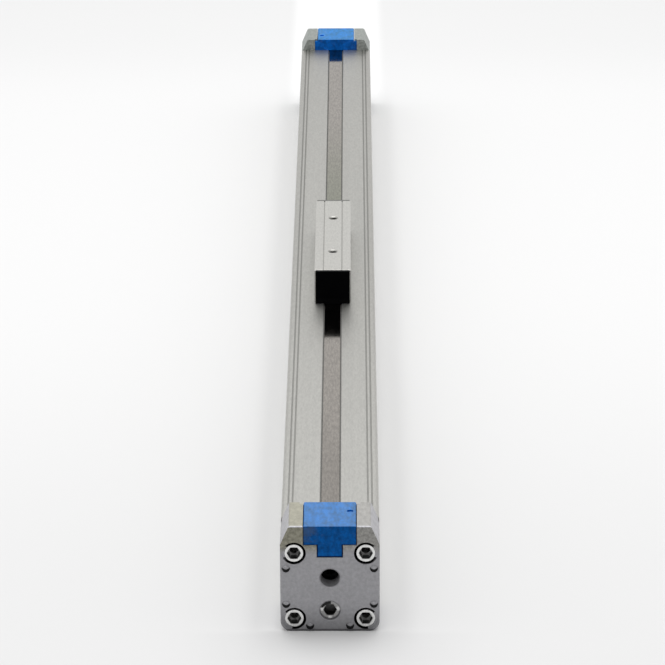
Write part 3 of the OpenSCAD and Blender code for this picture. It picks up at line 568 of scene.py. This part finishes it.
class DriveFinishSettings(bpy.types.PropertyGroup):
    """Colours of the drive's finishes."""

    barrel: colour_setting("Barrel", "Clear anodised extrusion", (0.535, 0.53, 0.503))
    cap: colour_setting("End caps", "Blasted casting", (0.44, 0.437, 0.457))
    # The far end's colour: a darker, greener copy of the end caps' colour
    rear_cap: colour_setting("Rear end cap", "Blasted casting of another melt", (0.335, 0.358, 0.34))
    driver: colour_setting("Driver", "Clear anodised block", (0.655, 0.648, 0.615))
    band: colour_setting("Cover band", "Rolled stainless strip", (0.371, 0.343, 0.311))
    screw: colour_setting("Screws", "Bright zinc plate", (0.80, 0.80, 0.79))
    clamp: colour_setting("Clamps", "Pressed plate", (0.50, 0.50, 0.50))
    blackened: colour_setting("Clamp screws", "Blackened steel", (0.10, 0.10, 0.105))
    brass: colour_setting("Brass", "Regulating screws", (0.72, 0.52, 0.24))
    magnet: colour_setting("Magnets", "Bonded ferrite", (0.09, 0.09, 0.095))
    blue: colour_setting("Band covers", "Blue moulding", (0.002, 0.112, 0.42))
    # The far end's colour: a deeper copy of the band covers' blue
    rear_blue: colour_setting("Rear band cover", "Blue moulding, less faded", (0.002, 0.112, 0.48))
    black: colour_setting("Strip guides", "Black moulding", (0.001, 0.001, 0.0014))
    white: colour_setting("Piston heads", "Turned acetal", (0.80, 0.79, 0.75))
    ring: colour_setting("Guide rings", "Filled bearing plastic", (0.42, 0.33, 0.20))
    seal_band: colour_setting("Sealing band", "Extruded plastic", (0.05, 0.055, 0.055))
    rubber: colour_setting("Rubber", "Sealing rings", (0.015, 0.015, 0.015))
    wiper: colour_setting("Wipers", "Wiping lips", (0.001, 0.001, 0.0014))
    lip: colour_setting("Lip seals", "Polyurethane", (0.05, 0.065, 0.05))


class DriveBandSettings(bpy.types.PropertyGroup):
    """Sizes of the bands and threads."""

    band_flat: length_setting("Flat", "Half length of the cover band's flat top over the web", 0.025)
    band_ramp: length_setting("Slope", "Length of each slope of the cover band", 0.027)
    seal_flat: length_setting("Seal flat", "Half length of the sealing band's flat under the web", 0.021)
    seal_ramp: length_setting("Seal slope", "Length of each slope of the sealing band", 0.015)
    band_thickness: length_setting("Cover band thickness", "Steel strip", 0.0003)
    seal_thickness: length_setting("Sealing band thickness", "Over the middle of the bore", 0.00075)
    thread_depth: length_setting("Thread depth", "How far thread crests stand in from a bore", 0.00016)
    port_pitch: length_setting("Port pitch", "Pitch of the pipe ports' threads", 0.000907)
    screw_pitch: length_setting("Screw pitch", "Pitch of the M5 threads", 0.0008)
    slope_steps: IntProperty(name="Slope steps", description="Loops along a slope", min=6, max=60, default=28)


class DriveStageSettings(bpy.types.PropertyGroup):
    """Floor, light and camera."""

    floor: colour_setting("Floor", "Pale table", (0.78, 0.78, 0.78))
    bounce: FloatProperty(name="Bounce", description="Share of the floor's light that falls back on things",
                          min=0.0, max=1.0, default=0.49)
    lens: FloatProperty(name="Lens", description="Focal length in millimetres on a 36 mm sensor",
                        min=20.0, max=400.0, default=185.4)
    pitch: FloatProperty(name="Tilt", description="Downward tilt of the camera", subtype="ANGLE",
                         default=math.radians(21.274))
    yaw: FloatProperty(name="Pan", description="Turn of the camera", subtype="ANGLE",
                       default=math.radians(-0.338))
    roll: FloatProperty(name="Roll", description="Roll of the camera", subtype="ANGLE",
                        default=math.radians(-0.226))
    place: FloatVectorProperty(name="Camera", description="Where the camera stands", subtype="TRANSLATION",
                               unit="LENGTH", size=3, default=(0.00988, -1.80308, 0.69204))


# ------------------------------------------------------------------ operators

class DRIVE_OT_metal_bodies(bpy.types.Operator):
    """Finishes the barrel, the end caps and the driver."""

    bl_idname = "drive.metal_bodies"
    bl_label = "Metal bodies"

    def execute(self, context):
        colours = context.scene.drive_finish
        give("barrel_profile", drawn_metal("barrel_anodised", colours.barrel, roughness=0.42, lines=900.0,
                                           depth=0.000012, darkening_of=barrel_darkening))
        give("piston_yoke", drawn_metal("driver_anodised", colours.driver, roughness=0.36, lines=1500.0,
                                        depth=0.000008, darkening_of=driver_painted_shade))
        caps = {"front": blasted_metal("cap_blasted", colours.cap, roughness=0.52, painted_light_share=0.9),
                "rear": blasted_metal("cap_blasted_rear", colours.rear_cap, roughness=0.52, painted_light_share=0.0)}
        spigot = turned_metal("spigot_turned", colours.driver, roughness=0.3)
        for end in ENDS:
            give(end + "_end_cap", caps[end])
            give(end + "_cushion_spigot", spigot)
            soften(end + "_end_cap", 0.00035)
        soften("piston_yoke", 0.0003)
        return {"FINISHED"}


class DRIVE_OT_fasteners(bpy.types.Operator):
    """Finishes the screws, plugs, pins, clamps and regulating screws."""

    bl_idname = "drive.fasteners"
    bl_label = "Fasteners"

    def execute(self, context):
        colours = context.scene.drive_finish
        bright = turned_metal("screw_zinc", colours.screw, roughness=0.26, darkening_of=head_painted_shade)
        plate = turned_metal("clamp_plate", colours.clamp, roughness=0.38)
        dark = turned_metal("screw_blackened", colours.blackened, roughness=0.45)
        brass = turned_metal("needle_brass", colours.brass, roughness=0.3)
        give("head_pins", bright)
        for end in ENDS:
            give(end + "_cap_screws", bright)
            give(end + "_port_plugs", bright)
            give(end + "_band_clamp", plate)
            give(end + "_clamp_screws", dark)
            give(end + "_cushion_needle", brass)
            soften(end + "_cap_screws", 0.0005, segments=3)
        return {"FINISHED"}


class DRIVE_OT_mouldings(bpy.types.Operator):
    """Finishes the plastic covers, guides, piston heads, rings and seals."""

    bl_idname = "drive.mouldings"
    bl_label = "Mouldings and seals"

    def execute(self, context):
        colours = context.scene.drive_finish
        seal = moulded_plastic("lip_polyurethane", colours.lip, roughness=0.36, grain=2000.0)
        rubber = moulded_plastic("ring_rubber", colours.rubber, roughness=0.55, grain=2600.0)
        both = {
            "_piston_head": moulded_plastic("head_acetal", colours.white, roughness=0.4, grain=1600.0),
            "_guide_ring": moulded_plastic("ring_filled", colours.ring, roughness=0.5, grain=2600.0),
            "_piston_magnet": moulded_plastic("magnet_bonded", colours.magnet, roughness=0.6, grain=3000.0),
            "_piston_seal": seal, "_cushion_seal": seal,
            "_bore_seal": rubber, "_duct_seal": rubber, "_needle_seal": rubber,
        }
        # The rear guide and wiper get a paler top
        pale_topped_black = moulded_plastic("guide_black_rear", colours.black, roughness=0.5, grain=2400.0, shine=0.05,
                                dust_and_sheen=0.3, dust_and_sheen_colour=(0.6, 0.6, 0.57))
        finishes = {
            "front_band_cover": moulded_plastic("cover_blue", colours.blue, roughness=0.38, grain=1800.0,
                                                wear_and_outline_shade=0.1, shine=0.08, dust_and_sheen=0.1),
            "rear_band_cover": moulded_plastic("cover_blue_rear", colours.rear_blue, roughness=0.38,
                                               grain=1800.0, wear_and_outline_shade=0.1, shine=0.08, dust_and_sheen=0.1,
                                               dust_and_sheen_colour=(0.27, 1.0, 0.85)),
            "front_strip_guide": moulded_plastic("guide_black", colours.black, roughness=0.34, grain=2400.0,
                                                 shine=0.03),
            "front_wiper": moulded_plastic("wiper_black", colours.wiper, roughness=0.5, grain=2400.0,
                                           shine=0.05),
            "rear_strip_guide": pale_topped_black, "rear_wiper": pale_topped_black,
        }
        for node, material in finishes.items():
            give(node, material)
        for end in ENDS:
            for piece, material in both.items():
                give(end + piece, material)
            soften(end + "_band_cover", 0.00035)
            soften(end + "_strip_guide", 0.0003)
        return {"FINISHED"}


def band_loop(y, base, thickness, half, lip):
    """Outline of a flat band across the drive at one station, with its edges eased."""
    top = base + thickness
    return [(-half + lip, y, base), (half - lip, y, base), (half, y, base + lip), (half, y, top - lip),
            (half - lip, y, top), (-half + lip, y, top), (-half, y, top - lip), (-half, y, base + lip)]


def band_halves(name, node, material, rise_of, reach, limits, flat, thickness, steps):
    """Makes a band as two pieces that meet over the driver's middle.

    Each piece reaches from its end cap, where the band is clamped, to the driver's middle. The straight run
    between has no loops. A function gives the underside's height at a distance from the driver's middle.
    """
    low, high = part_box(node)
    half = (high.x - low.x) / 2
    lip = thickness * 0.25
    for label, side in ENDS.items():
        stations = [abs(limits[0 if side < 0 else 1] - DRIVER_Y), reach]
        stations += [flat[0] + flat[1] * (1 - step / steps) for step in range(steps + 1)]
        stations += [flat[0] * 0.5, 0.0]
        loops = [band_loop(DRIVER_Y + side * station, rise_of(station), thickness, half, lip)
                 for station in stations]
        points, faces = tube_of(loops)
        piece = piece_from(name + "_" + label, points, faces, material, None)
        if side < 0:
            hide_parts(node)
        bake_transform(piece)


class DRIVE_OT_cover_band(bpy.types.Operator):
    """Makes the steel cover band, which rises over the driver's web."""

    bl_idname = "drive.cover_band"
    bl_label = "Cover band"

    def execute(self, context):
        colours, sizes = context.scene.drive_finish, context.scene.drive_bands
        painted_shade_shares, painted_reflection_tone, past_driver = (0.79, 0.87, 0.76), (0.05, 0.05, 0.06), 0.006
        steel = bpy.data.materials.new("band_rolled_steel")
        tree = Tree(steel)
        roll = tree.noise((2600.0, 5.0, 2600.0), 3.0, 0.6)
        smear = tree.noise((260.0, 30.0, 260.0), 4.0, 0.6)
        tone = tree.mix(smear, shade(colours.band, 0.95), shade(colours.band, 1.14))
        away = tree.axis("Y")
        # Painted shade behind the driver, darker and greener
        past_middle = away.above(0.0, 0.01) * away.below(0.15, 0.20)
        tone = tree.mix(past_middle, tone, tinted(colours.band, painted_shade_shares))
        # Painted shade towards the near end
        tone = tree.mix(away.below(-0.28, 0.10), tone, shade(colours.band, 0.91))
        # Painted reflection of the far cap's dark lower face, near the far end
        tone = tree.mix(away.above(0.359, 0.006) * 0.6, tone, painted_reflection_tone)
        tone = tree.grained(tone, (1000.0, 200.0, 900.0), 0.33)
        rough = 0.085 + (roll - 0.5) * 0.06 + (smear - 0.5) * 0.05
        tree.surface(base_color=tone, metallic=1.0, roughness=rough.clamped(),
                     normal=tree.bump(roll * 0.5 + smear * 0.5, 0.000003))
        lift = BAND_HIGH.z - BAND_LOW.z - sizes.band_thickness
        start = sizes.band_flat + sizes.band_ramp

        def rise(station):
            """Height of the band's underside."""
            return BAND_LOW.z + lift * ease((start - station) / sizes.band_ramp)

        band_halves("cover_strip", "cover_band", steel, rise, start + past_driver,
                    (BAND_LOW.y, BAND_HIGH.y), (sizes.band_flat, sizes.band_ramp),
                    sizes.band_thickness, sizes.slope_steps)
        return {"FINISHED"}


class DRIVE_OT_sealing_band(bpy.types.Operator):
    """Makes the inner band, which dips under the driver's web."""

    bl_idname = "drive.sealing_band"
    bl_label = "Sealing band"

    def execute(self, context):
        colours, sizes = context.scene.drive_finish, context.scene.drive_bands
        past_yoke = 0.002
        plastic = moulded_plastic("seal_band_extruded", colours.seal_band, roughness=0.4, grain=1200.0)
        drop = sizes.seal_thickness
        top = SEAL_HIGH.z - drop
        start = sizes.seal_flat + sizes.seal_ramp

        def rise(station):
            """Height of the band's underside."""
            return top - (top - SEAL_LOW.z) * ease((start - station) / sizes.seal_ramp)

        band_halves("inner_strip", "sealing_band", plastic, rise, start + past_yoke,
                    (SEAL_LOW.y, SEAL_HIGH.y), (sizes.seal_flat, sizes.seal_ramp), drop, sizes.slope_steps)
        return {"FINISHED"}


def thread(name, mouth, axis, radius, length, pitch, depth, material, body):
    """Makes the crests of an inner thread: a ridge wound along a bore from its mouth."""
    steps, fade_steps, least, sunk = 28, 10, 0.05, 0.00004
    root_share, crest_share, sharp_angle = 0.42, 0.08, 60
    turns = length / pitch
    axis = Vector(axis).normalized()
    across = axis.orthogonal().normalized()
    up = axis.cross(across)
    wall = radius + sunk
    loops = []
    for step in range(int(turns * steps) + 1):
        angle = math.tau * step / steps
        fade = min(1.0, step / fade_steps, (turns * steps - step) / fade_steps + least)
        out = across * math.cos(angle) + up * math.sin(angle)
        centre = Vector(mouth) - axis * (pitch * step / steps)
        crest = radius - depth * max(fade, least)
        loops.append([tuple(centre + out * wall + axis * pitch * root_share),
                      tuple(centre + out * crest + axis * pitch * crest_share),
                      tuple(centre + out * crest - axis * pitch * crest_share),
                      tuple(centre + out * wall - axis * pitch * root_share)])
    points, faces = tube_of(loops)
    return piece_from(name, points, faces, material, body, sharp_angle)


class DRIVE_OT_threads(bpy.types.Operator):
    """Makes thread crests in the ports, in the cap screws behind their sockets and in the driver's holes."""

    bl_idname = "drive.threads"
    bl_label = "Threads"

    def execute(self, context):
        port_inset, screw_inset, driver_inset = 0.0015, 0.0004, 0.0004
        port_length, screw_length, driver_length = 0.0085, 0.006, 0.0075
        sizes = context.scene.drive_bands
        caps = {"front": bpy.data.materials["cap_blasted"], "rear": bpy.data.materials["cap_blasted_rear"]}
        driver = bpy.data.materials["driver_anodised"]
        screw = bpy.data.materials["screw_zinc"]
        for end, side in ENDS.items():
            port = MOUNTS[end + "_port"]
            mouth = (0, side * (FACE_Y - port_inset), port["pos_m"][2])
            thread(end + "_port_thread", mouth, (0, side, 0), port["dims"]["r_mm"] * MM, port_length,
                   sizes.port_pitch, sizes.thread_depth, caps[end], "barrel")
            holes = MOUNTS[end + "_foot_holes"]
            half = holes["dims"]["spacing_x_mm"] * MM / 2
            _, y, z = holes["pos_m"]
            for number, (right, above) in enumerate(((-1, -1), (1, -1), (-1, 1), (1, 1)), 1):
                mouth = (right * half, y - side * screw_inset, z + above * half)
                thread(f"{end}_screw_thread_{number}", mouth, (0, side, 0), holes["dims"]["hole_r_mm"] * MM,
                       screw_length, sizes.screw_pitch, sizes.thread_depth, screw, "barrel")
        holes = MOUNTS["driver_holes"]
        for label, side in ENDS.items():
            y = holes["pos_m"][1] + side * holes["dims"]["spacing_y_mm"] * MM / 2
            thread(f"driver_thread_{label}", (0, y, holes["pos_m"][2] - driver_inset), (0, 0, 1),
                   holes["dims"]["hole_r_mm"] * MM, driver_length, sizes.screw_pitch, sizes.thread_depth,
                   driver, "carriage")
        return {"FINISHED"}


class DRIVE_OT_well_webs(bpy.types.Operator):
    """Makes the cast webs that narrow the counterbores towards the end caps' sides."""

    bl_idname = "drive.well_webs"
    bl_label = "Counterbore webs"

    def execute(self, context):
        steps, inner, outer, front_depth, back_depth = 16, 0.0043, 0.00536, 0.0002, 0.0016
        arcs = {"upper": (1, -23.0, 43.0), "lower": (-1, -78.0, 38.0)}
        for end, way in ENDS.items():
            material = bpy.data.materials["cap_blasted" if end == "front" else "cap_blasted_rear"]
            near, far = way * (FACE_Y - front_depth), way * (FACE_Y - back_depth)
            corners = ((inner, near), (outer, near), (outer, far), (inner, far))
            for hand, side in (("left", -1), ("right", 1)):
                for level, (above, start, stop) in arcs.items():
                    loops = []
                    for step in range(steps + 1):
                        angle = math.radians(start + (stop - start) * step / steps)
                        across, up = side * math.cos(angle), math.sin(angle)
                        loops.append([(side * SCREW_HALF + across * reach, y,
                                       SCREW_Z + above * SCREW_HALF + up * reach) for reach, y in corners])
                    points, faces = tube_of(loops)
                    name = f"{end}_{level}_{hand}_web"
                    piece_from(name, points, faces, material, "barrel")
        return {"FINISHED"}


class DRIVE_OT_stage(bpy.types.Operator):
    """Makes the floor, the world, the lamp and the camera."""

    bl_idname = "drive.stage"
    bl_label = "Stage"

    def execute(self, context):
        scene = context.scene
        settings = scene.drive_stage
        scene.view_settings.view_transform = "Standard"
        self.make_floor(settings)
        self.make_world(scene)
        self.make_light(scene)
        self.make_camera(scene, settings)
        return {"FINISHED"}

    def make_floor(self, settings):
        """Makes the pale table, which shows its tones to the camera and casts an even light on things. Its
        tones hold a painted pool of light over the middle, painted light beside the drive and painted shade
        in front of it.
        """
        size, near_end, beside_x = 14.0, -FACE_Y, 0.030
        material = bpy.data.materials.new("pale_table")
        tree = Tree(material)
        cloud = tree.noise(1.4, 2.0, 0.5)
        right, away = tree.axis("X"), tree.axis("Y")
        aside = right.size()
        # Painted pool of light over the middle of the floor
        pale = away.above(-0.17, 0.36) * (1.0 - away.above(0.48, 0.16) * 0.7)
        tone = tree.mix(pale, shade(settings.floor, 0.985), shade(settings.floor, 1.035))
        # Painted light beside the drive, weaker by its near right end
        right_end = right.above(0.0, 0.02) * away.below(near_end + 0.05, 0.08)
        beside = aside.below(beside_x, 0.010) * away.above(near_end, 0.004) * (1.0 - right_end * 0.45)
        tone = tree.mix(beside, tone, shade(settings.floor, 1.135))
        # Painted shade in front of the near end
        in_front = away.below(near_end - 0.002, 0.006) * aside.below(0.05, 0.06)
        tone = tree.mix(in_front, tone, shade(settings.floor, 0.93))
        tone = tree.mix(cloud * 0.02, tone, shade(settings.floor, 0.5))
        tone = tree.mix(tree.seen(), shade(settings.floor, settings.bounce), tone)
        tree.surface(base_color=tone, roughness=0.9, specular_ior_level=0.1)
        mesh = bpy.data.meshes.new("floor")
        mesh.from_pydata([(-size, -size, 0), (size, -size, 0), (size, size, 0), (-size, size, 0)],
                         [], [(0, 1, 2, 3)])
        mesh.materials.append(material)
        floor = bpy.data.objects.new("floor", mesh)
        bpy.context.scene.collection.objects.link(floor)

    def make_world(self, scene):
        """Makes a soft grey room, dark in front of the drive and pale beside and behind it."""
        greys = ((0.0, 0.16), (0.27, 0.34), (0.5, 1.05), (0.75, 0.85), (1.0, 0.72))
        overhead_grey = (0.80, 0.80, 0.80)
        world = bpy.data.worlds.new("soft_room")
        scene.world = world
        tree = Tree(world)
        direction = tree.node("ShaderNodeTexCoord", output="Generated")
        height, back = (tree.node("ShaderNodeSeparateXYZ", {}, {"Vector": direction}, output=name)
                        for name in ("Z", "Y"))
        stops = [(place, (grey, grey, grey)) for place, grey in greys]
        low = tree.node("ShaderNodeValToRGB", {"stops": stops}, {"Fac": (back * 0.5 + 0.5).clamped()})
        tone = tree.mix(height.clamped(), low, overhead_grey)
        sky = tree.node("ShaderNodeBackground", {}, {"Color": tone, "Strength": 1.0})
        tree.node("ShaderNodeOutputWorld", {}, {"Surface": sky}, output=None)

    def make_light(self, scene):
        """Makes one wide soft lamp that points down."""
        light = bpy.data.lights.new("overhead", "AREA")
        light.shape = "SQUARE"
        light.size = 1.4
        light.energy = 17.0
        lamp = bpy.data.objects.new("overhead", light)
        lamp.location = (0.0, 0.15, 1.7)
        lamp.rotation_euler = Vector((0, 0, -1)).to_track_quat("-Z", "Y").to_euler()
        scene.collection.objects.link(lamp)

    def make_camera(self, scene, settings):
        """Makes the camera from its place, its tilt, pan and roll, and its lens."""
        forward = Vector((math.sin(settings.yaw) * math.cos(settings.pitch),
                          math.cos(settings.yaw) * math.cos(settings.pitch), -math.sin(settings.pitch)))
        right = Vector((math.cos(settings.yaw), -math.sin(settings.yaw), 0))
        up = right.cross(forward)
        turned_right = right * math.cos(settings.roll) + up * math.sin(settings.roll)
        turned_up = up * math.cos(settings.roll) - right * math.sin(settings.roll)
        camera_data = bpy.data.cameras.new("camera")
        camera_data.lens = settings.lens
        camera_data.sensor_width = 36.0
        camera_data.clip_start = 0.05
        camera = bpy.data.objects.new("camera", camera_data)
        turn = Matrix((turned_right, turned_up, -forward)).transposed().to_4x4()
        camera.matrix_world = Matrix.Translation(Vector(settings.place)) @ turn
        scene.collection.objects.link(camera)
        scene.camera = camera


class DRIVE_PT_panel(bpy.types.Panel):
    """Lists the drive's operators and settings."""

    bl_idname = "DRIVE_PT_panel"
    bl_label = "Rodless drive"
    bl_space_type = "VIEW_3D"
    bl_region_type = "UI"
    bl_category = "Drive"

    def draw(self, context):
        """Draws a button for each operator and a box for each group of settings."""
        for operator in STEPS:
            self.layout.operator(operator.bl_idname)
        for group, owner in SETTINGS.items():
            box = self.layout.box()
            box.label(text=owner.__doc__)
            settings = getattr(context.scene, group)
            for name in owner.__annotations__:
                box.prop(settings, name)


STEPS = (DRIVE_OT_metal_bodies, DRIVE_OT_fasteners, DRIVE_OT_mouldings, DRIVE_OT_cover_band,
         DRIVE_OT_sealing_band, DRIVE_OT_threads, DRIVE_OT_well_webs, DRIVE_OT_stage)
SETTINGS = {"drive_finish": DriveFinishSettings, "drive_bands": DriveBandSettings,
            "drive_stage": DriveStageSettings}
CLASSES = (*SETTINGS.values(), *STEPS, DRIVE_PT_panel)


def register():
    """Adds the classes and their settings to the scene."""
    for item in CLASSES:
        bpy.utils.register_class(item)
    for name, group in SETTINGS.items():
        setattr(bpy.types.Scene, name, PointerProperty(type=group))


def unregister():
    """Takes the settings and the classes away again."""
    for name in SETTINGS:
        delattr(bpy.types.Scene, name)
    for item in reversed(CLASSES):
        bpy.utils.unregister_class(item)


def main():
    """Runs every operator in order."""
    register()
    for step in STEPS:
        group, operator = step.bl_idname.split(".")
        getattr(getattr(bpy.ops, group), operator)()


if __name__ == "__main__":
    main()
